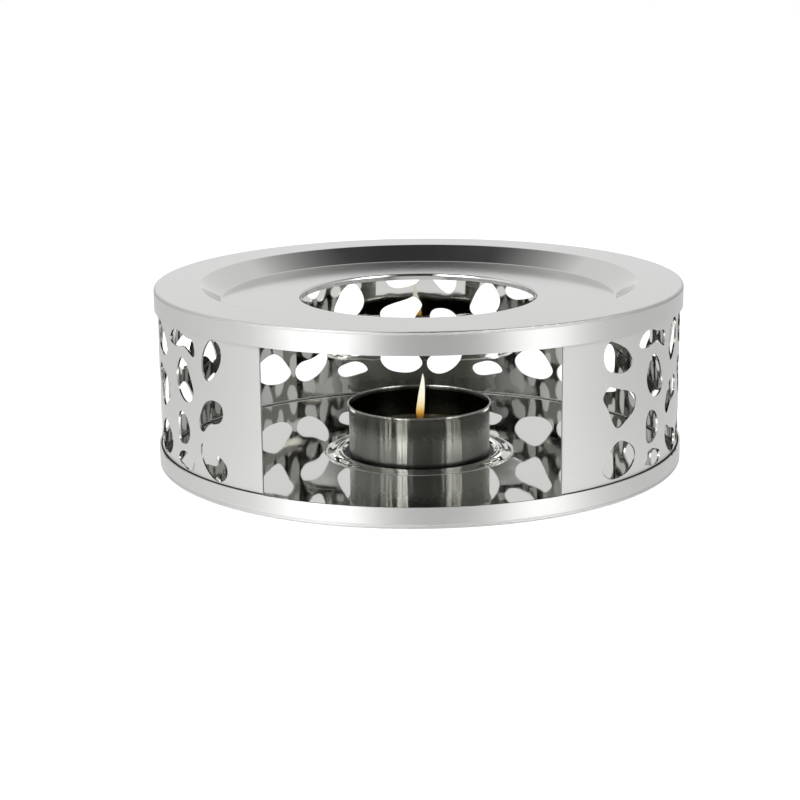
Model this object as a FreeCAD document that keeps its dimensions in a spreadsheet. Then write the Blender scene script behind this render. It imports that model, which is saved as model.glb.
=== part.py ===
import FreeCAD, Part
import math
import os

import Sketcher

# Teapot warmer of pressed and rolled steel sheet, with a tealight in a pressed seat.
# Millimetres, +Z up, origin on the floor under the middle. The open side faces -Y.
# The angle round the wall is measured at the axis, from the middle of the open side towards +X.

# Driving sizes: name, value, what it is
SIZES = (
    ("outer_diameter", 150.0, "lid and base over their edges"),
    ("total_height", 51.0, "floor to the top of the lid"),
    ("sheet", 0.4, "steel sheet of the lid and the base"),
    ("bend_radius", 0.8, "outside radius of the sharp bends"),
    ("skirt_depth", 6.0, "turned down edge of the lid"),
    ("rim_height", 5.8, "turned up edge of the base"),
    ("ring_width", 13.0, "flat outer ring of the lid"),
    ("dip_slope", 5.8, "width of the slope into the dip"),
    ("well_depth", 4.4, "top of the lid to the floor of the dip"),
    ("heat_hole_diameter", 67.2, "hole over the flame"),
    ("collar_depth", 1.8, "turned down edge of the hole"),
    ("collar_radius", 0.8, "rounding of the hole's edge"),
    ("strip", 0.5, "steel strip of the wall"),
    ("wall_gap", 0.45, "between the wall and the upturned edge"),
    ("burr_radius", 0.2, "rounding of the wall's lower edge, inside"),
    ("window_angle", 62.75, "open front, seen from the axis"),
    ("plain_start", 19.83, "along the wall, from its end to the first column of pebbles"),
    ("plain_finish", 17.0, "along the wall, the least from the last column to its other end"),
    ("second_column", 16.7, "along the wall, from a repeat's first column to its second"),
    ("third_column", 31.7, "along the wall, from a repeat's first column to its third"),
    ("pattern_pitch", 45.04, "along the wall, from repeat to repeat"),
    ("seat_clearance", 0.6, "between the tealight's side and the foot of the bead"),
    ("bead_inner_slope", 2.3, "width of the bead's slope beside the tealight"),
    ("bead_outer_slope", 4.1, "width of the bead's outer slope"),
    ("bead_height", 0.7, "rise of the bead that seats the tealight"),
    ("bead_radius", 3.0, "rounding of the bead"),
    ("cup_diameter", 40.8, "tealight cup"),
    ("cup_depth", 14.4, "tealight cup without its curled edge"),
    ("cup_sheet", 0.3, "aluminium of the cup"),
    ("cup_corner", 1.4, "rounding between the cup's side and bottom"),
    ("curl_diameter", 0.6, "curled edge of the cup"),
    ("curl_overhang", 0.5, "curled edge past the cup's side"),
    ("flare_height", 1.0, "part of the cup's side that flares out to the curl"),
    ("wax_depth", 5.6, "wax left in the cup"),
    ("wick_diameter", 1.4, "braided wick"),
    ("wick_length", 8.3, "wick from the cup's bottom to its tip"),
    ("foot_diameter", 13.0, "round foot that holds the wick"),
    ("foot_sheet", 0.3, "tinplate of the wick's foot"),
    ("neck_wall", 0.6, "crimped neck of the wick's foot, beside the wick"),
    ("neck_height", 3.0, "crimped neck over the foot"),
)

# Pebble holes: their column, and their outline in millimetres along the wall and up from
# the middle of the wall's open height. Each outline is one smooth closed curve.
PEBBLES = {
    "tall_pear": ("first", (
        (-3.4, 18.6), (0.8, 16.8), (4.2, 14.2), (5.2, 11.9), (3.6, 10.0), (-1.2, 9.8), (-5.0, 11.4),
        (-6.3, 14.9), (-5.4, 17.6),
    )),
    "heart": ("first", (
        (-3.1, 6.6), (2.1, 4.8), (7.3, 1.4), (6.5, -1.2), (3.0, -3.5), (-0.8, -5.0), (-2.8, -2.9),
        (-5.0, 1.3), (-6.3, 4.2),
    )),
    "round": ("first", (
        (0.5, -8.6), (3.9, -9.7), (7.4, -13.6), (5.6, -16.8), (0.6, -18.6), (-4.3, -18.0),
        (-6.3, -15.8), (-4.9, -12.8), (-2.6, -10.0),
    )),
    "long_bean": ("second", (
        (-8.1, 16.0), (-6.4, 18.0), (-2.4, 19.0), (3.0, 17.7), (7.0, 16.6), (6.9, 13.1),
        (3.4, 14.3), (-0.4, 14.9), (-5.6, 14.3),
    )),
    "waisted": ("second", (
        (0.4, 11.7), (2.6, 10.3), (5.3, 5.7), (6.1, 2.9), (4.2, 0.4), (0.8, 0.0), (-2.4, 2.0),
        (-4.0, 5.4), (-3.0, 9.2),
    )),
    "egg": ("second", (
        (-1.6, -3.2), (1.6, -4.5), (3.2, -7.6), (2.4, -10.8), (-0.6, -12.4), (-3.3, -11.8),
        (-4.0, -8.6), (-3.6, -4.9),
    )),
    "small_bean": ("second", (
        (-4.8, -16.8), (-3.4, -15.1), (-1.0, -14.2), (2.4, -14.7), (5.2, -16.6), (4.4, -18.4),
        (1.4, -19.1), (-2.2, -18.4),
    )),
    "drop": ("third", (
        (1.7, 19.0), (4.0, 17.2), (3.9, 13.4), (1.7, 10.1), (-2.3, 7.7), (-4.2, 10.2), (-3.8, 14.4),
        (-1.6, 17.8),
    )),
    "kidney": ("third", (
        (2.0, 2.7), (4.2, 0.9), (3.9, -1.8), (1.8, -3.4), (-1.8, -4.3), (-5.1, -6.6), (-6.3, -5.2),
        (-5.7, -2.0), (-3.7, 1.1),
    )),
    "slanted_bean": ("third", (
        (-5.9, -10.6), (-6.0, -13.2), (-4.2, -16.2), (-1.3, -18.4), (2.0, -19.1), (4.9, -17.4),
        (5.2, -14.6), (3.0, -12.6), (-1.4, -11.5),
    )),
}

# One pebble of one repeat, counted from 0, sits further along the wall and lower
MOVED_PEBBLE = "tall_pear"
MOVED_IN_REPEAT = 3
MOVED_BY = (5.7, -2.8)

# A cutter reaches this far through the wall on each side
CUTTER_REACH = 4.0

NODES = (
    "base_plate",
    "side_wall",
    "top_plate",
    "tealight_cup",
    "wax",
    "wick",
    "wick_foot",
)

doc = FreeCAD.newDocument("TeapotWarmer")
sheet = doc.addObject("Spreadsheet::Sheet", "Sizes")
for row, (alias, value, meaning) in enumerate(SIZES, start=1):
    sheet.set(f"A{row}", meaning)
    sheet.set(f"B{row}", str(value))
    sheet.setAlias(f"B{row}", alias)
doc.recompute()


def value_of(expression):
    return float(sheet.evalExpression(expression))


def half(alias):
    return f"Sizes.{alias} / 2"


def section_line(name, corners):
    """An open line in the XZ plane through corners, each given as (radius, height)."""
    sketch = doc.addObject("Sketcher::SketchObject", name)
    sketch.Placement.Rotation = FreeCAD.Rotation(FreeCAD.Vector(1, 0, 0), 90)
    points = [FreeCAD.Vector(value_of(radius), value_of(height), 0) for radius, height in corners]
    for start, end in zip(points, points[1:]):
        sketch.addGeometry(Part.LineSegment(start, end), False)
    for line in range(len(points) - 2):
        sketch.addConstraint(Sketcher.Constraint("Coincident", line, 2, line + 1, 1))
    for index, corner in enumerate(corners):
        line, end = (index, 1) if index < len(points) - 1 else (index - 1, 2)
        for kind, axis, expression in (("DistanceX", -2, corner[0]), ("DistanceY", -1, corner[1])):
            if expression == "0":
                sketch.addConstraint(Sketcher.Constraint("PointOnObject", line, end, axis))
                continue
            constraint = Sketcher.Constraint(kind, -1, 1, line, end, value_of(expression))
            number = sketch.addConstraint(constraint)
            sketch.setExpression(f"Constraints[{number}]", expression)
    return sketch


def pressed_sheet(name, corners, sheet_alias):
    """A round pressing: the section line is its outer face, and the sheet lies inside."""
    band = doc.addObject("Part::Offset2D", f"{name}_section")
    band.Source = section_line(f"{name}_line", corners)
    band.Mode = "Skin"
    band.Join = "Intersection"
    band.Fill = True
    band.setExpression("Value", f"Sizes.{sheet_alias}")
    pressing = doc.addObject("Part::Revolution", f"{name}_pressing")
    pressing.Source = band
    pressing.Axis = FreeCAD.Vector(0, 0, 1)
    pressing.Angle = 360
    pressing.Solid = True
    doc.recompute()
    return pressing


def circle_places(shape):
    """Each circle or arc of a turned shape, as (edge number, radius, height)."""
    return [
        (number, edge.Curve.Radius, edge.Curve.Center.z)
        for number, edge in enumerate(shape.Edges, start=1)
        if isinstance(edge.Curve, Part.Circle)
    ]


def rounded_bends(name, pressing, sheet_alias, bends):
    """Round both faces of the sheet at each bend: (corner, radius, +1 if convex, -1 if hollow)."""
    thickness = value_of(f"Sizes.{sheet_alias}")
    circles = circle_places(pressing.Shape)
    edges = []
    for (radius, height), bend, side in bends:
        corner = (value_of(radius), value_of(height))
        nearest = sorted(circles, key=lambda circle: math.dist(circle[1:], corner))[:2]
        outer = value_of(bend)
        inner = outer - side * thickness
        edges.append((nearest[0][0], outer, outer))
        edges.append((nearest[1][0], inner, inner))
    fillet = doc.addObject("Part::Fillet", name)
    fillet.Base = pressing
    fillet.Edges = edges
    return fillet


def turned_disc(name, diameter, height, base_height):
    """A plain cylinder on the axis, each size an expression."""
    disc = doc.addObject("Part::Cylinder", name)
    disc.setExpression("Radius", f"({diameter}) / 2")
    disc.setExpression("Height", height)
    disc.setExpression(".Placement.Base.z", base_height)
    return disc


def boolean(kind, name, base, tool):
    result = doc.addObject(f"Part::{kind}", name)
    result.Base = base
    result.Tool = tool
    return result


# Heights and radii that several pieces share
OUTER = half("outer_diameter")
TOP = "Sizes.total_height"
BASE_FLOOR = "Sizes.sheet"
LID_UNDERSIDE = "Sizes.total_height - Sizes.sheet"
WELL_FLOOR = "Sizes.total_height - Sizes.well_depth"
WELL_TOP = f"{OUTER} - Sizes.ring_width"
WELL_FOOT = f"{WELL_TOP} - Sizes.dip_slope"
WALL_OUTER_DIAMETER = "Sizes.outer_diameter - 2 * Sizes.sheet - 2 * Sizes.wall_gap"
BEAD_INNER = "Sizes.cup_diameter / 2 + Sizes.seat_clearance"
BEAD_CREST = f"{BEAD_INNER} + Sizes.bead_inner_slope"
BEAD_OUTER = f"{BEAD_CREST} + Sizes.bead_outer_slope"
CUP_BOTTOM = BASE_FLOOR
CUP_FLOOR = f"{CUP_BOTTOM} + Sizes.cup_sheet"
CUP_RIM = f"{CUP_BOTTOM} + Sizes.cup_depth"
CUP_BORE = "Sizes.cup_diameter - 2 * Sizes.cup_sheet"
CURL_CENTRE = "Sizes.cup_diameter / 2 + Sizes.curl_overhang - Sizes.curl_diameter / 2"


def make_base_plate():
    """Tray pressed from one sheet: flat floor, upturned edge, and a low bead round the tealight."""
    edge_corner = (OUTER, "0")
    bead_outer = (BEAD_OUTER, "0")
    bead_crest = (BEAD_CREST, "Sizes.bead_height")
    bead_inner = (BEAD_INNER, "0")
    corners = (("0", "0"), bead_inner, bead_crest, bead_outer, edge_corner, (OUTER, "Sizes.rim_height"))
    pressing = pressed_sheet("base", corners, "sheet")
    bends = (
        (edge_corner, "Sizes.bend_radius", 1),
        (bead_outer, "Sizes.bead_radius", 1),
        (bead_crest, "Sizes.bead_radius", -1),
        (bead_inner, "Sizes.bead_radius", 1),
    )
    return rounded_bends("base_plate", pressing, "sheet", bends)


def make_top_plate():
    """Lid pressed from one sheet: skirt, flat ring, dip for the pot, and a collar round the hole."""
    edge_corner = (OUTER, TOP)
    well_top = (WELL_TOP, TOP)
    well_foot = (WELL_FOOT, WELL_FLOOR)
    hole_corner = (half("heat_hole_diameter"), WELL_FLOOR)
    corners = (
        (OUTER, f"{TOP} - Sizes.skirt_depth"),
        edge_corner,
        well_top,
        well_foot,
        hole_corner,
        (half("heat_hole_diameter"), f"{WELL_FLOOR} - Sizes.collar_depth"),
    )
    pressing = pressed_sheet("lid", corners, "sheet")
    bends = (
        (edge_corner, "Sizes.bend_radius", 1),
        (well_top, "Sizes.bend_radius", 1),
        (well_foot, "Sizes.bend_radius", -1),
        (hole_corner, "Sizes.collar_radius", 1),
    )
    return rounded_bends("top_plate", pressing, "sheet", bends)


def pebble_cutter(outline, angle, height):
    """A smooth closed prism through the wall, square to it at this angle."""
    radius = value_of(WALL_OUTER_DIAMETER) / 2 - value_of("Sizes.strip") / 2
    start = radius - CUTTER_REACH
    points = [FreeCAD.Vector(start, along, height + up) for along, up in outline]
    curve = Part.BSplineCurve()
    curve.interpolate(Points=points, PeriodicFlag=True)
    face = Part.Face(Part.Wire([curve.toShape()]))
    cutter = face.extrude(FreeCAD.Vector(2 * CUTTER_REACH, 0, 0))
    cutter.rotate(FreeCAD.Vector(0, 0, 0), FreeCAD.Vector(0, 0, 1), angle - 90)
    return cutter


def make_pebble_cutters():
    """As many repeats of the pebbles as the wall has room for, from the same outlines."""
    columns = {
        "first": 0.0,
        "second": value_of("Sizes.second_column"),
        "third": value_of("Sizes.third_column"),
    }
    degrees_per_mm = math.degrees(2 / value_of(WALL_OUTER_DIAMETER))
    window = value_of("Sizes.window_angle")
    wall_length = (360 - window) / degrees_per_mm
    start = value_of("Sizes.plain_start")
    pitch = value_of("Sizes.pattern_pitch")
    room = wall_length - start - columns["third"] - value_of("Sizes.plain_finish")
    repeats = int(room / pitch) + 1
    rim_top = value_of("Sizes.rim_height")
    skirt_bottom = value_of(f"{TOP} - Sizes.skirt_depth")
    middle = (rim_top + skirt_bottom) / 2
    solids = []
    for repeat in range(repeats):
        for name, (column, outline) in PEBBLES.items():
            moved = name == MOVED_PEBBLE and repeat == MOVED_IN_REPEAT
            further, higher = MOVED_BY if moved else (0.0, 0.0)
            along = start + columns[column] + repeat * pitch + further
            angle = window / 2 + along * degrees_per_mm
            solids.append(pebble_cutter(outline, angle, middle + higher))
    cutters = doc.addObject("Part::Feature", "pebble_cutters")
    cutters.Shape = Part.makeCompound(solids)
    return cutters


def make_side_wall():
    """Strip rolled into an open ring, between the base's floor and the lid's underside."""
    strip_width = f"({LID_UNDERSIDE}) - ({BASE_FLOOR})"
    outside = turned_disc("wall_outside", WALL_OUTER_DIAMETER, strip_width, BASE_FLOOR)
    outside.setExpression("Angle", "360 - Sizes.window_angle")
    outside.Placement.Rotation = FreeCAD.Rotation(FreeCAD.Vector(0, 0, 1), 1)
    outside.setExpression(".Placement.Rotation.Angle", "270 + Sizes.window_angle / 2")
    bore = f"{WALL_OUTER_DIAMETER} - 2 * Sizes.strip"
    inside = turned_disc("wall_inside", bore, strip_width, BASE_FLOOR)
    ring = boolean("Cut", "wall_ring", outside, inside)
    doc.recompute()
    lower_edge = min(circle_places(ring.Shape), key=lambda circle: (circle[2], circle[1]))[0]
    rounding = value_of("Sizes.burr_radius")
    rounded = doc.addObject("Part::Fillet", "wall_rounded")
    rounded.Base = ring
    rounded.Edges = [(lower_edge, rounding, rounding)]
    return boolean("Cut", "side_wall", rounded, make_pebble_cutters())


def make_tealight_cup():
    """Drawn aluminium cup that flares to a curled edge, standing inside the bead."""
    corner = (half("cup_diameter"), CUP_BOTTOM)
    flare = (half("cup_diameter"), f"{CUP_RIM} - Sizes.flare_height")
    rim = (f"{CURL_CENTRE} + Sizes.cup_sheet / 2", CUP_RIM)
    corners = (("0", CUP_BOTTOM), corner, flare, rim)
    pressing = pressed_sheet("cup", corners, "cup_sheet")
    bends = ((corner, "Sizes.cup_corner", 1),)
    shell = rounded_bends("cup_shell", pressing, "cup_sheet", bends)
    curl = doc.addObject("Part::Torus", "cup_curl")
    curl.setExpression("Radius1", CURL_CENTRE)
    curl.setExpression("Radius2", half("curl_diameter"))
    curl.setExpression(".Placement.Base.z", CUP_RIM)
    return boolean("Fuse", "tealight_cup", shell, curl)


def make_wick():
    """Braided wick, from the cup's bottom up through its foot and the wax."""
    return turned_disc("wick", "Sizes.wick_diameter", "Sizes.wick_length", CUP_FLOOR)


def make_wick_foot(wick):
    """Round tinplate foot with a crimped neck, on the bottom of the cup."""
    plate = turned_disc("foot_plate", "Sizes.foot_diameter", "Sizes.foot_sheet", CUP_FLOOR)
    neck_height = "Sizes.foot_sheet + Sizes.neck_height"
    neck_diameter = "Sizes.wick_diameter + 2 * Sizes.neck_wall"
    neck = turned_disc("foot_neck", neck_diameter, neck_height, CUP_FLOOR)
    blank = boolean("Fuse", "foot_blank", plate, neck)
    return boolean("Cut", "wick_foot", blank, wick)


def make_wax(wick, wick_foot):
    """Half burnt wax that fills the cup's bottom round the wick and its foot."""
    pool = turned_disc("wax_pool", CUP_BORE, "Sizes.wax_depth", CUP_FLOOR)
    doc.recompute()
    lower_edge = min(circle_places(pool.Shape), key=lambda circle: circle[2])[0]
    corner = value_of("Sizes.cup_corner - Sizes.cup_sheet")
    rounded = doc.addObject("Part::Fillet", "wax_rounded")
    rounded.Base = pool
    rounded.Edges = [(lower_edge, corner, corner)]
    around_foot = boolean("Cut", "wax_round_foot", rounded, wick_foot)
    return boolean("Cut", "wax", around_foot, wick)


base_plate = make_base_plate()
side_wall = make_side_wall()
top_plate = make_top_plate()
tealight_cup = make_tealight_cup()
wick = make_wick()
wick_foot = make_wick_foot(wick)
wax = make_wax(wick, wick_foot)
doc.recompute()

# Every feature computed, and every piece one valid solid, before anything is written
for item in doc.Objects:
    if {"Invalid", "Error"} & set(item.State):
        raise RuntimeError(f"{item.Label} failed: {item.State}")

os.makedirs("parts", exist_ok=True)
pieces = []
for node in NODES:
    piece = doc.getObjectsByLabel(node)[0]
    if piece.Shape.isNull() or not piece.Shape.isValid() or len(piece.Shape.Solids) != 1:
        raise RuntimeError(f"{node} is not one valid solid")
    pieces.append(piece)

for piece in pieces:
    piece.Shape.exportStep(f"parts/{piece.Label}.step")
    print(f"{piece.Label}: {piece.Shape.Volume:.1f} mm3")
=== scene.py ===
import math

import bpy
from mathutils import Matrix, Vector


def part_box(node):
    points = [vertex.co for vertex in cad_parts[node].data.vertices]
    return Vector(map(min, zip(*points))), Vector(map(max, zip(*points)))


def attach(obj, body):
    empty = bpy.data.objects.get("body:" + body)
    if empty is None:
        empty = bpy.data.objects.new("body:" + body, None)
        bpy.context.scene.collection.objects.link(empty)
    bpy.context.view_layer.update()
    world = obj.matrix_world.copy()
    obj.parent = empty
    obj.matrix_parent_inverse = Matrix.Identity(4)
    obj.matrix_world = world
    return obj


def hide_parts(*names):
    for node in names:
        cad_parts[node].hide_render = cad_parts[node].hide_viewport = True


# Teapot warmer of pressed steel with a lit tealight.
# Metres, +Z up, origin on the floor under the middle. The open side faces -Y.

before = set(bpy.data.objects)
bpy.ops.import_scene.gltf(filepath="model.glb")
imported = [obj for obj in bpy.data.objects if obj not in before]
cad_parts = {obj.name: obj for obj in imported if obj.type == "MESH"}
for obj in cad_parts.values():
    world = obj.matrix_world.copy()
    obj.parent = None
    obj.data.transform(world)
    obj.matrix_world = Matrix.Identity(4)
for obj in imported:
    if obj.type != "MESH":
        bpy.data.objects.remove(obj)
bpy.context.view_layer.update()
BODY = "root"

MM = 0.001
SCENE = bpy.context.scene

# Camera, fitted to the round edges of the photo
PHOTO_SIDE = 800
# Focal length, in pixels of the photo
CAMERA_FOCUS = 1878.67
CAMERA_PLACE = Vector((17.25, -528.48, 145.19)) * MM
CAMERA_YAW = math.radians(-2.47)
CAMERA_PITCH = math.radians(13.783)
CAMERA_ROLL = math.radians(-0.62)
CAMERA_SENSOR = 36.0
CAMERA_LENS = CAMERA_SENSOR * CAMERA_FOCUS / PHOTO_SIDE

# The table: its side, and how far it lies under the warmer
FLOOR_SIZE = 6.0
FLOOR_DROP = 0.05 * MM

# The table's glow: white to the camera, and dimmer away from the warmer where the steel mirrors it
TABLE_WHITE = 0.90
TABLE_NEAR = 0.84
TABLE_FAR = 0.64
# Distances from the warmer's axis, in millimetres, where the near glow ends and the far one starts
TABLE_NEAR_END = 90.0
TABLE_FAR_START = 190.0
TABLE_COLOUR = (0.16, 0.16, 0.16, 1)

# Finishes: base colours are linear reflectances
STEEL_COLOUR = (0.57, 0.57, 0.562, 1)
POLISHED_COLOUR = (0.57, 0.568, 0.548, 1)
STEEL_EDGE_TINT = (0.92, 0.92, 0.92, 1)
# How dark brush lines can get, as a share of the steel's colour, and their depth in millimetres
BRUSH_LINE = 0.93
BRUSH_DEPTH = 0.004
# Length of the polished side's waves, in millimetres
RIPPLE_LENGTH = 14.0
CUT_EDGE_ROUGHNESS = 0.35
DULL_BEND_ROUGHNESS = 0.85
# Narrow bands on the sheets: painted shade in gaps and painted highlights on edges, with soft edges in
# millimetres
# Painted shade for the dark lines in gaps
PAINTED_SHADE_COLOUR = (0.04, 0.04, 0.04, 1)
GAP_ROUGHNESS = 0.4
# Painted highlight for the bright lines on edges
PAINTED_HIGHLIGHT_COLOUR = (0.86, 0.86, 0.85, 1)
HIGHLIGHT_BAND_ROUGHNESS = 0.5
BAND_EDGE = 0.12
ALUMINIUM_COLOUR = (0.36, 0.36, 0.335, 1)
CUP_UPPER_COLOUR = (0.21, 0.21, 0.19, 1)
CURL_COLOUR = (0.50, 0.50, 0.47, 1)
# Painted shade on the cup's inside
CUP_INSIDE_SHADE_COLOUR = (0.02, 0.02, 0.014, 1)
WAX_CLEAR_COLOUR = (0.18, 0.16, 0.11, 1)
WAX_CLOUD_COLOUR = (0.32, 0.29, 0.20, 1)
COTTON_COLOUR = (0.55, 0.50, 0.40, 1)
CHARRED_COLOUR = (0.02, 0.016, 0.012, 1)
TINPLATE_COLOUR = (0.56, 0.56, 0.54, 1)

# Sheets in millimetres: the wall's thickness, and the outside radius of the sharp bends
STRIP = 0.5
BEND_RADIUS = 0.8
# The mesh comes near the true bends: a point counts as on one within this share of its radius,
# and up to this many millimetres past the end of its side
BEND_SLACK = 0.2
MESH_SAG = 0.02
# A face is taken as upright when it faces this much to or from the axis
UPRIGHT = 0.97
# The lid in millimetres: its flat ring, its dip and its hole
RING_WIDTH = 13.0
DIP_SLOPE = 5.8
DIP_DEPTH = 4.4
HOLE_RADIUS = 33.6
# Radii between which the lid's dip and its skirt turn satin
DIP_SATIN = (40.0, 42.0)
SKIRT_SATIN = (70.0, 74.0)
# Radii between which the tray's edge turns satin
TRAY_SATIN = (74.0, 74.6)
# Rings left by the press on the bead round the tealight: first and last radius, pitch, depth
BEAD_RINGS = (20.8, 27.6, 2.2, 0.03)
# Radii of the painted shade under the cup's curved foot, and of the painted highlight line round the bead
CUP_FOOT_SHADE = (20.0, 21.6)
BEAD_HIGHLIGHT = (26.7, 27.3)

# Tealight in millimetres: outside radius and height of the curl's foot
CUP_RADIUS = 20.4
CURL_FOOT = 14.4
# Heights between which the cup turns smoother and darker, and the wick charred
CUP_UPPER_HEIGHTS = (6.5, 11.5)
WICK_CHAR = (5.0, 6.6)

# Flame: its height over the floor, how far it leans towards +X and its width, in millimetres
FLAME = (
    (23.4, 1.10, 0.02), (22.9, 1.10, 0.30), (21.6, 1.10, 0.84), (20.0, 0.98, 1.28), (18.4, 0.85, 1.65),
    (16.8, 0.70, 1.90), (15.2, 0.55, 2.10), (13.2, 0.35, 2.30), (11.9, 0.25, 2.30), (10.6, 0.25, 2.00),
    (9.6, 0.25, 1.50), (8.8, 0.20, 0.90),
)
# Its glow by height: linear colour and how solid it looks
FLAME_GLOW = (
    (8.8, (0.10, 0.04, 0.01), 0.0),
    (10.0, (0.20, 0.08, 0.02), 0.55),
    (11.0, (0.30, 0.12, 0.02), 0.85),
    (12.2, (0.62, 0.34, 0.06), 1.0),
    (14.0, (0.86, 0.70, 0.36), 1.0),
    (16.5, (0.97, 0.93, 0.72), 1.0),
    (23.4, (1.00, 1.00, 0.90), 1.0),
)


class Tree:
    """A node tree with short calls for the nodes that the materials share."""

    def __init__(self, tree):
        self.tree = tree
        tree.nodes.clear()

    def node(self, kind, **settings):
        made = self.tree.nodes.new(kind)
        for name, value in settings.items():
            setattr(made, name, value)
        return made

    def feed(self, socket, value):
        """Link a socket to a socket, or set its constant."""
        if isinstance(value, bpy.types.NodeSocket):
            self.tree.links.new(value, socket)
        else:
            socket.default_value = value

    def math(self, operation, first, second=None, clamp=False):
        made = self.node("ShaderNodeMath", operation=operation, use_clamp=clamp)
        self.feed(made.inputs[0], first)
        if second is not None:
            self.feed(made.inputs[1], second)
        return made.outputs[0]

    def step(self, value, low, high, low_result=0.0, high_result=1.0):
        """A smooth step of value, from low_result at low to high_result at high."""
        made = self.node("ShaderNodeMapRange", interpolation_type="SMOOTHSTEP")
        limits = (value, low, high, low_result, high_result)
        for socket, limit in zip(made.inputs, limits):
            self.feed(socket, limit)
        return made.outputs[0]

    def slope(self, value, low, high):
        """A straight rise of value from 0 at low to 1 at high."""
        made = self.node("ShaderNodeMapRange")
        for socket, limit in zip(made.inputs, (value, low, high)):
            self.feed(socket, limit)
        return made.outputs[0]

    def blend(self, amount, first, second):
        made = self.node("ShaderNodeMix", data_type="FLOAT")
        self.feed(made.inputs["Factor"], amount)
        self.feed(made.inputs[2], first)
        self.feed(made.inputs[3], second)
        return made.outputs[0]

    def tint(self, amount, first, second):
        made = self.node("ShaderNodeMix", data_type="RGBA")
        self.feed(made.inputs["Factor"], amount)
        self.feed(made.inputs[6], first)
        self.feed(made.inputs[7], second)
        return made.outputs[2]

    def noise(self, vector, scale, detail=2.0, roughness=0.5):
        made = self.node("ShaderNodeTexNoise")
        self.feed(made.inputs["Vector"], vector)
        self.feed(made.inputs["Scale"], scale)
        self.feed(made.inputs["Detail"], detail)
        self.feed(made.inputs["Roughness"], roughness)
        return made.outputs[0]

    def vector(self, x, y, z):
        made = self.node("ShaderNodeCombineXYZ")
        for socket, value in zip(made.inputs, (x, y, z)):
            self.feed(socket, value)
        return made.outputs[0]

    def bump(self, height, distance, strength=1.0, normal=None):
        made = self.node("ShaderNodeBump")
        if normal is not None:
            self.feed(made.inputs["Normal"], normal)
        self.feed(made.inputs["Height"], height)
        self.feed(made.inputs["Distance"], distance)
        self.feed(made.inputs["Strength"], strength)
        return made.outputs[0]

    def ramp(self, value, stops):
        """Colours at places from 0 to 1, with straight blends between them."""
        made = self.node("ShaderNodeValToRGB")
        self.feed(made.inputs[0], value)
        elements = made.color_ramp.elements
        while len(elements) > 1:
            elements.remove(elements[-1])
        for number, (place, colour) in enumerate(stops):
            element = elements[0] if number == 0 else elements.new(place)
            element.position = place
            element.color = colour
        return made

    def levels(self, angle, table):
        """The level that a table of (degrees, level) gives at an angle in radians."""
        turn = self.math("ADD", self.math("DIVIDE", angle, 2 * math.pi), 0.5)
        brightest = max(level for _, level in table)
        stops = [(degrees / 360 + 0.5, (level / brightest,) * 3 + (1,)) for degrees, level in table]
        return self.math("MULTIPLY", self.ramp(turn, stops).outputs[0], brightest)

    def split(self, vector):
        """The x, y and z of a vector."""
        parts = self.node("ShaderNodeSeparateXYZ")
        self.feed(parts.inputs[0], vector)
        return tuple(parts.outputs)

    def place(self):
        """The point's x, y and z in millimetres."""
        scaled = self.node("ShaderNodeVectorMath", operation="SCALE")
        self.feed(scaled.inputs[0], self.node("ShaderNodeNewGeometry").outputs["Position"])
        scaled.inputs["Scale"].default_value = 1 / MM
        return self.split(scaled.outputs[0])

    def distance(self, x, y):
        """The distance from 0, 0 to x, y."""
        squares = self.math("ADD", self.math("MULTIPLY", x, x), self.math("MULTIPLY", y, y))
        return self.math("SQRT", squares)

    def angle(self, x, y):
        """The angle round the axis in radians: 0 towards -Y, and + towards +X."""
        return self.math("ARCTAN2", x, self.math("MULTIPLY", y, -1.0))

    def facing(self, x, y, radius):
        """How far the surface faces away from the axis, and how far up."""
        east, north, upward = self.split(self.node("ShaderNodeNewGeometry").outputs["Normal"])
        outward = self.math("ADD", self.math("MULTIPLY", east, x), self.math("MULTIPLY", north, y))
        return self.math("DIVIDE", outward, radius), upward


def new_material(name):
    """A new material, the calls for its nodes, and its shader."""
    material = bpy.data.materials.new(name)
    material.use_nodes = True
    tree = Tree(material.node_tree)
    shader = tree.node("ShaderNodeBsdfPrincipled")
    output = tree.node("ShaderNodeOutputMaterial")
    tree.feed(output.inputs["Surface"], shader.outputs["BSDF"])
    return material, tree, shader


def brush_round(tree, shader, brushing):
    """Fine lines round the axis: they spread highlights up and down, not sideways."""
    tree.feed(shader.inputs["Anisotropic"], brushing)
    shader.inputs["Anisotropic Rotation"].default_value = 0.25
    tangent = tree.node("ShaderNodeTangent", direction_type="RADIAL", axis="Z")
    tree.feed(shader.inputs["Tangent"], tangent.outputs[0])


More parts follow.
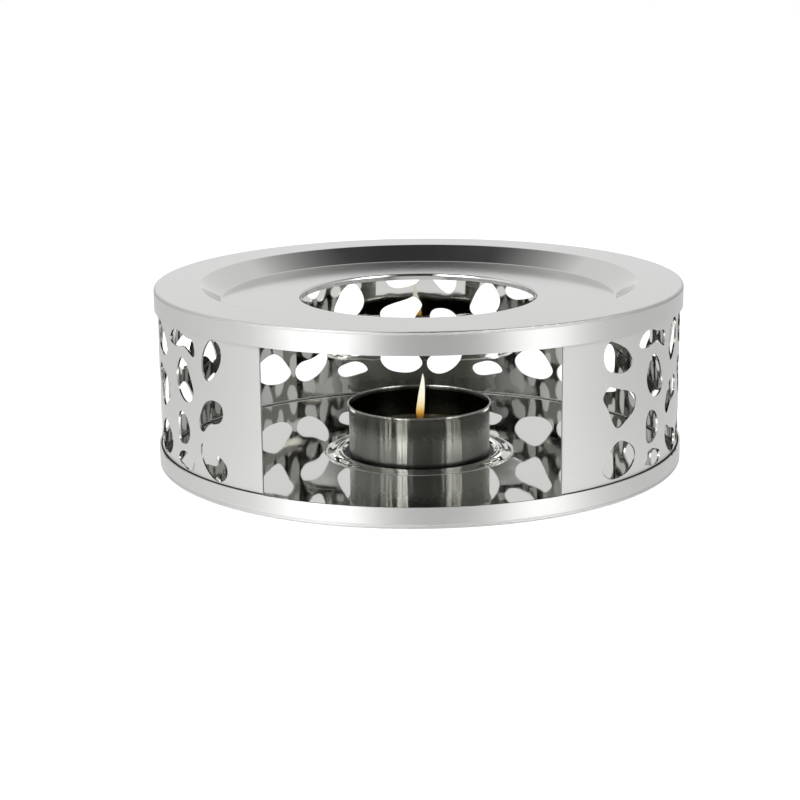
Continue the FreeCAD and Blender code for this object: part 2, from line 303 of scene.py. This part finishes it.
def exact_normals(tree, x, y, z, radius, outward, bends):
    """Normals of the true rolled sheet: level on upright walls, and set by the height on each bend.

    A bend is (middle radius, middle height, bend radius, +1 where it faces out or -1 in, +1 where it
    is round or -1 hollow, least and most that it faces up).
    """
    normal = tree.node("ShaderNodeNewGeometry").outputs["Normal"]
    east = tree.math("DIVIDE", x, radius)
    north = tree.math("DIVIDE", y, radius)

    def choose(here, level, rise):
        """A normal with this level part and this rise where here is 1, and the present one elsewhere."""
        turned = tree.vector(tree.math("MULTIPLY", east, level), tree.math("MULTIPLY", north, level), rise)
        choice = tree.node("ShaderNodeMix", data_type="VECTOR")
        tree.feed(choice.inputs["Factor"], here)
        tree.feed(choice.inputs[4], normal)
        tree.feed(choice.inputs[5], turned)
        return choice.outputs[1]

    upright = tree.math("GREATER_THAN", tree.math("ABSOLUTE", outward), UPRIGHT)
    normal = choose(upright, tree.math("SIGN", outward), 0.0)
    for middle, height, bend_radius, sideways, kind, least, most in bends:
        across = tree.math("SUBTRACT", radius, middle)
        up = tree.math("SUBTRACT", z, height)
        on_face = tree.math("COMPARE", tree.distance(across, up), bend_radius)
        on_face.node.inputs[2].default_value = BEND_SLACK * bend_radius
        on_side = tree.math("GREATER_THAN", tree.math("MULTIPLY", across, sideways * kind), -MESH_SAG)
        rise = tree.math("MULTIPLY", up, kind / bend_radius)
        # Past the middle height only other faces of the sheet come near the circle
        on_half = tree.math("GREATER_THAN" if most > 0 else "LESS_THAN", rise, 0.0)
        rise = tree.math("MINIMUM", tree.math("MAXIMUM", rise, least), most)
        level = tree.math("SQRT", tree.math("SUBTRACT", 1.0, tree.math("MULTIPLY", rise, rise)), clamp=True)
        here = tree.math("MULTIPLY", on_face, tree.math("MULTIPLY", on_side, on_half))
        normal = choose(here, tree.math("MULTIPLY", level, sideways), rise)
    return normal


def dull_bend(tree, roughness, z, radius, bend):
    """From the middle height of the outer bend up, the sheet is stretched, and so it is dull."""
    middle, height, bend_radius = bend[:3]
    rise = tree.math("DIVIDE", tree.math("SUBTRACT", z, height), bend_radius)
    steep = tree.math("MULTIPLY", tree.step(rise, -0.05, 0.1), tree.step(rise, 0.75, 0.6))
    steep = tree.math("MULTIPLY", steep, tree.math("GREATER_THAN", radius, middle))
    return tree.blend(steep, roughness, DULL_BEND_ROUGHNESS)


def mark_bands(tree, colour, roughness, z, radius, outside, inside, bands):
    """Narrow bands, of painted shade and of painted highlight, that have their own colour and roughness.

    A band is (True where it is measured by height or False by radius, True where it is on the
    outside, from, to, colour, roughness).
    """
    for by_height, on_outside, low, high, band_colour, band_roughness in bands:
        place = z if by_height else radius
        from_low = tree.step(place, low - BAND_EDGE, low + BAND_EDGE)
        to_high = tree.step(place, high + BAND_EDGE, high - BAND_EDGE)
        here = tree.math("MULTIPLY", from_low, to_high)
        here = tree.math("MULTIPLY", here, outside if on_outside else inside)
        colour = tree.tint(here, colour, band_colour)
        roughness = tree.blend(here, roughness, band_roughness)
    return colour, roughness


def press_rings(tree, normal, radius, rings):
    """Shallow rings: their first and last radius, pitch and depth are in millimetres."""
    first, last, pitch, depth = rings
    wave = tree.math("SINE", tree.math("MULTIPLY", radius, 2 * math.pi / pitch))
    fade_in = tree.step(radius, first, first + pitch)
    fade_out = tree.step(radius, last, last - pitch)
    wave = tree.math("MULTIPLY", wave, tree.math("MULTIPLY", fade_in, fade_out))
    return tree.bump(wave, distance=depth * MM, normal=normal)


def steel_sheet(name, satin_side, satin_roughness=0.42, flat_roughness=0.12, mirror_roughness=0.05,
                ripple=0.0, brushing=0.8, bends=(), rings=(), bands=()):
    """Stainless sheet: brushed round the axis outside, smoother where flat, polished inside.

    satin_side makes the value that is 1 on the outside, ripple is the depth of the polished side's
    waves in millimetres, and the first of the bends is the outer one.
    """
    material, tree, shader = new_material(name)
    x, y, z = tree.place()
    radius = tree.distance(x, y)
    outward, upward = tree.facing(x, y, radius)
    outside = satin_side(tree, outward, upward, radius)
    inside = tree.math("SUBTRACT", 1.0, outside)
    flatness = tree.step(tree.math("ABSOLUTE", upward), 0.3, 0.75)
    # The pressed edge is as rough as the upright side
    edge_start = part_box("top_plate")[1][0] / MM - BEND_RADIUS
    flatness = tree.math("MULTIPLY", flatness, tree.step(radius, edge_start + 0.2, edge_start))

    # Brush lines run round the wall, and are much finer across than along
    around = tree.math("MULTIPLY", tree.angle(x, y), 3.0)
    lay = tree.vector(around, tree.math("MULTIPLY", z, 9.0), radius)
    lines = tree.noise(lay, scale=1.0, detail=3.0, roughness=0.6)
    squeezed = tree.vector(tree.math("MULTIPLY", x, 0.5), tree.math("MULTIPLY", y, 0.5), z)
    cloud = tree.noise(squeezed, scale=0.25, detail=3.0, roughness=0.55)

    satin = tree.blend(flatness, satin_roughness, flat_roughness)
    satin = tree.math("ADD", satin, tree.math("MULTIPLY", tree.math("SUBTRACT", cloud, 0.5), 0.05))
    roughness = tree.blend(outside, mirror_roughness, satin)
    # Cut edges face neither the axis nor straight up
    sideways = tree.math("MAXIMUM", tree.math("ABSOLUTE", outward), tree.math("ABSOLUTE", upward))
    roughness = tree.blend(tree.step(sideways, 0.35, 0.7), CUT_EDGE_ROUGHNESS, roughness)
    if bends:
        roughness = dull_bend(tree, roughness, z, radius, bends[0])

    # Only the low half of the lines is darker
    tone = tree.math("ADD", 0.97, tree.math("MULTIPLY", lines, 0.06))
    dark = tuple(channel * BRUSH_LINE for channel in STEEL_COLOUR[:3]) + (1,)
    colour = tree.tint(outside, POLISHED_COLOUR, tree.tint(tone, dark, STEEL_COLOUR))
    colour, roughness = mark_bands(tree, colour, roughness, z, radius, outside, inside, bands)
    tree.feed(shader.inputs["Base Color"], colour)
    tree.feed(shader.inputs["Roughness"], roughness)

    normal = exact_normals(tree, x, y, z, radius, outward, bends)
    lines = tree.math("MULTIPLY", lines, outside)
    normal = tree.bump(lines, distance=BRUSH_DEPTH * MM, strength=0.35, normal=normal)
    # Rolling and piercing leave the polished side slightly wavy
    waves = tree.noise(tree.vector(x, y, z), scale=1 / RIPPLE_LENGTH, detail=2.0, roughness=0.4)
    waves = tree.math("MULTIPLY", waves, inside)
    normal = tree.bump(waves, distance=ripple * MM, normal=normal)
    if rings:
        normal = press_rings(tree, normal, radius, rings)
    tree.feed(shader.inputs["Normal"], normal)

    shader.inputs["Metallic"].default_value = 1.0
    shader.inputs["Specular Tint"].default_value = STEEL_EDGE_TINT
    brush_round(tree, shader, tree.math("MULTIPLY", outside, brushing))
    return material


def lid_outside(tree, outward, upward, radius):
    """The lid's top and skirt are satin, its underside is bright, and the collar is in between."""
    past_hole = tree.step(radius, HOLE_RADIUS + 0.1, HOLE_RADIUS + 0.6)
    above = tree.math("MULTIPLY", tree.step(upward, 0.3, 0.8), past_hole)
    near_hole = tree.step(radius, HOLE_RADIUS + 1.0, HOLE_RADIUS + 0.7)
    collar = tree.math("MULTIPLY", near_hole, tree.step(outward, 0.0, -0.2, 0.0, 0.5))
    slope = tree.math("MULTIPLY", tree.step(upward, -0.3, 0.1), tree.step(radius, *DIP_SATIN))
    skirt = tree.math("MULTIPLY", tree.step(radius, *SKIRT_SATIN), tree.step(outward, 0.0, 0.4))
    return tree.math("MAXIMUM", tree.math("MAXIMUM", above, collar), tree.math("MAXIMUM", slope, skirt))


def wall_outside(tree, outward, upward, radius):
    """The strip is satin on the face away from the axis."""
    return tree.step(outward, 0.0, 0.5)


def base_outside(tree, outward, upward, radius):
    """Only the outside of the tray's upturned edge is satin."""
    return tree.math("MULTIPLY", tree.step(radius, *TRAY_SATIN), tree.step(outward, 0.1, 0.5))


def lid_bends():
    """The lid's bends: its outer edge, the top and foot of the dip's slope, and the hole's edge."""
    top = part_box("top_plate")[1][2] / MM
    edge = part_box("top_plate")[1][0] / MM
    floor = top - DIP_DEPTH
    steep = math.atan2(DIP_DEPTH, DIP_SLOPE)
    # A bend starts this far from its corner
    start = BEND_RADIUS * math.tan(steep / 2)
    slope_top = edge - RING_WIDTH
    slope_foot = slope_top - DIP_SLOPE
    return (
        (edge - BEND_RADIUS, top - BEND_RADIUS, BEND_RADIUS, 1, 1, 0.0, 1.0),
        (slope_top + start, top - BEND_RADIUS, BEND_RADIUS, -1, 1, math.cos(steep), 1.0),
        (slope_foot - start, floor + BEND_RADIUS, BEND_RADIUS, -1, -1, math.cos(steep), 1.0),
        (HOLE_RADIUS + BEND_RADIUS, floor - BEND_RADIUS, BEND_RADIUS, -1, 1, 0.0, 1.0),
    )


def base_bends():
    """The bend between the tray's underside and its upturned edge faces down and out."""
    low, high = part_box("base_plate")
    return ((high[0] / MM - BEND_RADIUS, low[2] / MM + BEND_RADIUS, BEND_RADIUS, 1, 1, -1.0, 0.0),)


def wall_bands():
    """Painted shade outside in the gap over the tray's edge, and a painted highlight inside at the wall's
    foot.
    """
    tray_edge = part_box("base_plate")[1][2] / MM
    tray_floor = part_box("side_wall")[0][2] / MM
    return (
        (True, True, 0.0, tray_edge + 0.2, PAINTED_SHADE_COLOUR, GAP_ROUGHNESS),
        (True, False, tray_floor, tray_floor + 0.45, PAINTED_HIGHLIGHT_COLOUR, HIGHLIGHT_BAND_ROUGHNESS),
    )


def tray_bands():
    """Painted shade round the cup's foot, a painted highlight line round the bead, and painted shade where
    the wall stands.
    """
    wall_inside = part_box("side_wall")[1][0] / MM - STRIP
    return (
        (False, False, *CUP_FOOT_SHADE, PAINTED_SHADE_COLOUR, GAP_ROUGHNESS),
        (False, False, *BEAD_HIGHLIGHT, PAINTED_HIGHLIGHT_COLOUR, HIGHLIGHT_BAND_ROUGHNESS),
        (False, False, wall_inside - 1.2, wall_inside + 0.2, PAINTED_SHADE_COLOUR, GAP_ROUGHNESS),
    )


def aluminium():
    """Drawn cup: soft upright creases, slanted drawing marks, and painted shade inside."""
    material, tree, shader = new_material("drawn_aluminium")
    x, y, z = tree.place()
    outward, _ = tree.facing(x, y, tree.distance(x, y))
    around = tree.math("MULTIPLY", tree.angle(x, y), CUP_RADIUS)
    upright = tree.vector(around, tree.math("MULTIPLY", z, 0.05), 0.0)
    creases = tree.noise(upright, scale=0.42, detail=2.0, roughness=0.55)
    # The marks are much longer along the slant than across it
    along = tree.math("MULTIPLY", tree.math("SUBTRACT", around, z), 0.08)
    slant = tree.vector(tree.math("ADD", around, z), along, 0.0)
    marks = tree.noise(slant, scale=2.4, detail=2.0, roughness=0.5)
    height = tree.math("ADD", creases, tree.math("MULTIPLY", marks, 0.05))
    tree.feed(shader.inputs["Normal"], tree.bump(height, distance=0.30 * MM, strength=0.7))
    # The part under the curl is smoother and darker
    near_rim = tree.step(z, *CUP_UPPER_HEIGHTS)
    dull = tree.step(marks, 0.3, 0.7, 0.28, 0.40)
    tree.feed(shader.inputs["Roughness"], tree.blend(near_rim, dull, 0.20))
    side = tree.tint(near_rim, ALUMINIUM_COLOUR, CUP_UPPER_COLOUR)
    side = tree.tint(tree.step(z, CURL_FOOT, CURL_FOOT + 0.3), side, CURL_COLOUR)
    # Inside, under the curl, the colour is painted shade
    under_curl = tree.step(z, CURL_FOOT + 0.6, CURL_FOOT - 0.2)
    inside = tree.math("MULTIPLY", tree.step(outward, 0.1, -0.3), under_curl)
    tree.feed(shader.inputs["Base Color"], tree.tint(inside, side, CUP_INSIDE_SHADE_COLOUR))
    shader.inputs["Metallic"].default_value = 1.0
    brush_round(tree, shader, brushing=0.85)
    return material


def wax_material():
    """Clear molten wax with a few pale clouds."""
    material, tree, shader = new_material("molten_wax")
    cloud = tree.noise(tree.vector(*tree.place()), scale=0.2, detail=3.0)
    tree.feed(shader.inputs["Base Color"], tree.tint(cloud, WAX_CLEAR_COLOUR, WAX_CLOUD_COLOUR))
    tree.feed(shader.inputs["Roughness"], tree.step(cloud, 0.3, 0.7, 0.03, 0.09))
    tree.feed(shader.inputs["Normal"], tree.bump(cloud, distance=0.02 * MM, strength=0.4))
    shader.inputs["IOR"].default_value = 1.44
    shader.inputs["Transmission Weight"].default_value = 0.85
    return material


def wick_material():
    """Pale cotton at the foot, charred above."""
    material, tree, shader = new_material("charred_cotton")
    x, y, z = tree.place()
    long = tree.vector(x, y, tree.math("MULTIPLY", z, 0.3))
    fibres = tree.noise(long, scale=5.0, detail=4.0, roughness=0.7)
    charred = tree.step(z, *WICK_CHAR)
    tree.feed(shader.inputs["Base Color"], tree.tint(charred, COTTON_COLOUR, CHARRED_COLOUR))
    tree.feed(shader.inputs["Normal"], tree.bump(fibres, distance=0.15 * MM))
    shader.inputs["Roughness"].default_value = 0.9
    return material


def flame_material():
    """The glow changes only with the height: brown at the wick, then amber, then white."""
    material, tree, shader = new_material("candle_flame")
    _, _, z = tree.place()
    lowest, highest = FLAME_GLOW[0][0], FLAME_GLOW[-1][0]
    stops = [
        ((height - lowest) / (highest - lowest), (*colour, solid))
        for height, colour, solid in FLAME_GLOW
    ]
    ramp = tree.ramp(tree.slope(z, lowest, highest), stops)
    tree.feed(shader.inputs["Emission Color"], ramp.outputs["Color"])
    tree.feed(shader.inputs["Alpha"], ramp.outputs["Alpha"])
    shader.inputs["Emission Strength"].default_value = 1.0
    shader.inputs["Base Color"].default_value = (0, 0, 0, 1)
    shader.inputs["Roughness"].default_value = 1.0
    shader.inputs["Specular IOR Level"].default_value = 0.0
    return material


def tinplate():
    """Dull tin with soft spangles."""
    material, tree, shader = new_material("tinplate")
    spangle = tree.noise(tree.vector(*tree.place()), scale=0.8, detail=3.0)
    tree.feed(shader.inputs["Roughness"], tree.step(spangle, 0.3, 0.7, 0.22, 0.38))
    shader.inputs["Base Color"].default_value = TINPLATE_COLOUR
    shader.inputs["Metallic"].default_value = 1.0
    return material


def dress(node, material):
    """Give a CAD part its finish. Its mesh stays as it is."""
    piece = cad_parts[node]
    piece.data.materials.clear()
    piece.data.materials.append(material)
    for face in piece.data.polygons:
        face.use_smooth = True


def new_piece(name, points, faces, material):
    """A mesh piece given in millimetres, which rides on the warmer."""
    mesh = bpy.data.meshes.new(name)
    mesh.from_pydata([Vector(point) * MM for point in points], [], faces)
    for face in mesh.polygons:
        face.use_smooth = True
    mesh.materials.append(material)
    piece = bpy.data.objects.new(name, mesh)
    SCENE.collection.objects.link(piece)
    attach(piece, BODY)
    return piece


def skin(rings, closed=False):
    """Faces between rings of as many points each: ends capped, or the last joined to the first."""
    count = len(rings[0])
    points = [point for ring in rings for point in ring]
    faces = []
    steps = len(rings) if closed else len(rings) - 1
    for ring in range(steps):
        here = ring * count
        there = (ring + 1) % len(rings) * count
        for side in range(count):
            across = (side + 1) % count
            faces.append((here + side, here + across, there + across, there + side))
    if not closed:
        faces.append(tuple(reversed(range(count))))
        faces.append(tuple(range(len(points) - count, len(points))))
    return points, faces


def smooth_between(rows, steps):
    """More rows on smooth curves through the given ones."""
    dense = []
    for index in range(len(rows) - 1):
        near = [min(max(index + shift, 0), len(rows) - 1) for shift in (-1, 0, 1, 2)]
        before, here, there, after = (rows[number] for number in near)
        for step in range(steps):
            part = step / steps
            dense.append(tuple(
                b + 0.5 * part * (c - a + part * (2 * a - 5 * b + 4 * c - d + part * (3 * (b - c) + d - a)))
                for a, b, c, d in zip(before, here, there, after)
            ))
    dense.append(rows[-1])
    return dense


def make_flame():
    """The flame's rows as rings, each moved by how far it leans."""
    sides = 32
    rings = []
    for height, lean, width in smooth_between(sorted(FLAME), 4):
        rings.append([
            (lean + width / 2 * math.cos(turn), width / 2 * math.sin(turn), height)
            for turn in (2 * math.pi * side / sides for side in range(sides))
        ])
    points, faces = skin(rings)
    new_piece("flame", points, faces, flame_material())


def make_wick():
    """Three plaited strands with a charred, bent tip. Sizes are in millimetres."""
    low, high = (corner[2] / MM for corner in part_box("wick"))
    strands, sides, rows = 3, 12, 120
    plait_length, sway, depth, thickness = 2.6, 0.36, 0.20, 0.29
    # Shares of the length where the bend and the rounded tip start, and how far the tip bends over
    bend_start, tip_start = 0.75, 0.92
    bend_reach = 0.135
    points, faces = [], []
    for strand in range(strands):
        rings = []
        for row in range(rows + 1):
            part = row / rows
            height = low + (high - low) * part
            turn = 2 * math.pi * (height / plait_length + strand / strands)
            bend = bend_reach * (max(0.0, part - bend_start) / (1 - bend_start)) ** 2
            narrow = 1.0
            if part > tip_start:
                narrow = math.sqrt(max(0.02, 1 - ((part - tip_start) / (1 - tip_start)) ** 2))
            x = sway * narrow * math.sin(turn) + bend
            y = depth * narrow * math.sin(2 * turn)
            radius = thickness * narrow
            rings.append([
                (x + radius * math.cos(spin), y + radius * math.sin(spin), height)
                for spin in (2 * math.pi * side / sides for side in range(sides))
            ])
        strand_points, strand_faces = skin(rings)
        offset = len(points)
        points.extend(strand_points)
        faces.extend(tuple(offset + index for index in face) for face in strand_faces)
    wick = new_piece("plaited_wick", points, faces, wick_material())
    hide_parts("wick")


def make_wax():
    """Molten wax that creeps up the cup and the wick, turned round the foot that it covers."""
    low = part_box("wax")[0][2] / MM
    reach, _, high = (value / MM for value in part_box("wax")[1])
    foot_radius, _, neck_top = (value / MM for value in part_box("wick_foot")[1])
    # A small gap keeps it clear of the cup, the foot and the wick
    gap = 0.04
    edge = reach - gap
    # Radii of its bore for the wick and round the foot's neck, and the height where it clears the plate
    bore, neck, plate_top = 0.76, 1.34, 1.04
    profile = (
        # The surface, from the wick out to the cup
        (bore, high - 0.05), (1.0, high - 0.22), (1.5, high - 0.34), (2.6, high - 0.40), (8.0, high - 0.42),
        (15.0, high - 0.42), (18.0, high - 0.38), (19.2, high - 0.25), (edge, high),
        # Down the cup, along its bottom and over the foot
        (edge, 2.0), (edge - 0.3, low + 0.45), (edge - 1.1, low + gap), (foot_radius + gap, low + gap),
        (foot_radius + gap, plate_top), (neck, plate_top), (neck, neck_top + gap), (bore, neck_top + gap),
    )
    sides = 128
    rings = [
        [(radius * math.cos(turn), radius * math.sin(turn), height) for radius, height in profile]
        for turn in (2 * math.pi * side / sides for side in range(sides))
    ]
    points, faces = skin(rings, closed=True)
    wax = new_piece("molten_wax", points, faces, wax_material())
    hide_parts("wax")


def make_camera():
    """The fitted camera. It looks along yaw and pitch, and roll turns its picture."""
    data = bpy.data.cameras.new("camera")
    data.sensor_width = CAMERA_SENSOR
    data.lens = CAMERA_LENS
    data.clip_start = 0.01
    data.clip_end = 20.0
    camera = bpy.data.objects.new("camera", data)
    SCENE.collection.objects.link(camera)
    forward = Vector((math.sin(CAMERA_YAW) * math.cos(CAMERA_PITCH),
                      math.cos(CAMERA_YAW) * math.cos(CAMERA_PITCH),
                      -math.sin(CAMERA_PITCH)))
    level_right = Vector((math.cos(CAMERA_YAW), -math.sin(CAMERA_YAW), 0.0))
    level_up = level_right.cross(forward)
    right = math.cos(CAMERA_ROLL) * level_right + math.sin(CAMERA_ROLL) * level_up
    up = right.cross(forward)
    camera.matrix_world = Matrix((
        (right.x, up.x, -forward.x, CAMERA_PLACE.x),
        (right.y, up.y, -forward.y, CAMERA_PLACE.y),
        (right.z, up.z, -forward.z, CAMERA_PLACE.z),
        (0, 0, 0, 1),
    ))
    SCENE.camera = camera


# Studio round the warmer, by the angle from the camera's side (degrees, + to the right):
# how bright the surround is there, low down, and the two lamps over it
SURROUND = (
    (-180, 1.0), (-153, 1.0), (-130, 0.95), (-109, 1.1), (-95, 1.35), (-72, 1.25), (-60, 0.9), (-46, 0.6),
    (-32, 0.15), (-22, 0.07), (28, 0.07), (38, 0.3), (50, 0.8), (64, 1.05), (76, 1.0), (100, 0.7),
    (118, 0.6), (140, 0.9), (180, 1.0),
)
LAMPS = (
    (-180, 0.0), (-66, 0.0), (-59, 11.5), (-28, 11.5), (-18, 0.0), (38, 0.0), (50, 11.0), (65, 11.0),
    (76, 0.0), (180, 0.0),
)
# Heights are sines of the angle over the horizon. The lamps hang between two of them, with soft edges
LAMP_BOTTOM = 0.32
LAMP_TOP = 0.85
LAMP_EDGE = 0.05
# The ceiling is dark: the surround fades to it between these heights
OVERHEAD_LEVEL = 0.05
OVERHEAD_FROM = 0.64
OVERHEAD_FULL = 0.93


def make_world():
    """White backdrop, dark ceiling, and two bright sides with the dark camera between them."""
    world = bpy.data.worlds.new("studio")
    SCENE.world = world
    world.use_nodes = True
    tree = Tree(world.node_tree)
    x, y, z = tree.split(tree.node("ShaderNodeTexCoord").outputs["Generated"])
    angle = tree.angle(x, y)
    around = tree.levels(angle, SURROUND)
    overhead = tree.slope(z, OVERHEAD_FROM, OVERHEAD_FULL)
    level = tree.blend(overhead, around, OVERHEAD_LEVEL)
    above = tree.step(z, LAMP_BOTTOM - LAMP_EDGE, LAMP_BOTTOM + LAMP_EDGE)
    below = tree.step(z, LAMP_TOP + LAMP_EDGE, LAMP_TOP - LAMP_EDGE)
    lamps = tree.math("MULTIPLY", tree.levels(angle, LAMPS), tree.math("MULTIPLY", above, below))
    level = tree.math("ADD", level, lamps)

    path = tree.node("ShaderNodeLightPath")
    level = tree.blend(path.outputs["Is Camera Ray"], level, 1.0)
    background = tree.node("ShaderNodeBackground")
    tree.feed(background.inputs["Color"], (1, 1, 1, 1))
    tree.feed(background.inputs["Strength"], level)
    output = tree.node("ShaderNodeOutputWorld")
    tree.feed(output.inputs["Surface"], background.outputs[0])


def make_floor():
    """White table that keeps the warmer's shadow."""
    mesh = bpy.data.meshes.new("floor")
    side = FLOOR_SIZE / 2
    corners = ((-side, -side), (side, -side), (side, side), (-side, side))
    mesh.from_pydata([(x, y, -FLOOR_DROP) for x, y in corners], [], [(0, 1, 2, 3)])
    floor = bpy.data.objects.new("floor", mesh)
    SCENE.collection.objects.link(floor)
    material = bpy.data.materials.new("white_table")
    material.use_nodes = True
    tree = Tree(material.node_tree)
    path = tree.node("ShaderNodeLightPath")
    seen = tree.math("MAXIMUM", path.outputs["Is Camera Ray"], path.outputs["Is Transmission Ray"])
    direct = tree.math("MULTIPLY", seen, TABLE_WHITE)
    x, y, _ = tree.place()
    radius = tree.distance(x, y)
    by_distance = tree.step(radius, TABLE_NEAR_END, TABLE_FAR_START, TABLE_NEAR, TABLE_FAR)
    mirrored = tree.math("MULTIPLY", path.outputs["Is Glossy Ray"], by_distance)
    glow = tree.node("ShaderNodeEmission")
    tree.feed(glow.inputs["Color"], (1, 1, 1, 1))
    tree.feed(glow.inputs["Strength"], tree.math("ADD", direct, mirrored))
    matt = tree.node("ShaderNodeBsdfDiffuse")
    tree.feed(matt.inputs["Color"], TABLE_COLOUR)
    both = tree.node("ShaderNodeAddShader")
    tree.feed(both.inputs[0], glow.outputs[0])
    tree.feed(both.inputs[1], matt.outputs[0])
    output = tree.node("ShaderNodeOutputMaterial")
    tree.feed(output.inputs["Surface"], both.outputs[0])
    mesh.materials.append(material)


SCENE.view_settings.view_transform = "Standard"
SCENE.cycles.max_bounces = 16
SCENE.cycles.glossy_bounces = 14
make_camera()
make_world()
make_floor()

# Finishes of the CAD parts
dress("top_plate", steel_sheet("satin_steel_lid", lid_outside, bends=lid_bends()))
dress("side_wall", steel_sheet("satin_steel_wall", wall_outside, satin_roughness=0.43, mirror_roughness=0.03,
                               ripple=0.06, brushing=0.4, bands=wall_bands()))
dress("base_plate", steel_sheet("satin_steel_base", base_outside, satin_roughness=0.46, mirror_roughness=0.03,
                                ripple=0.02, bends=base_bends(), rings=BEAD_RINGS, bands=tray_bands()))
dress("tealight_cup", aluminium())
dress("wick_foot", tinplate())

# Pieces that are finer than their CAD solid, and the flame
make_wax()
make_wick()
make_flame()
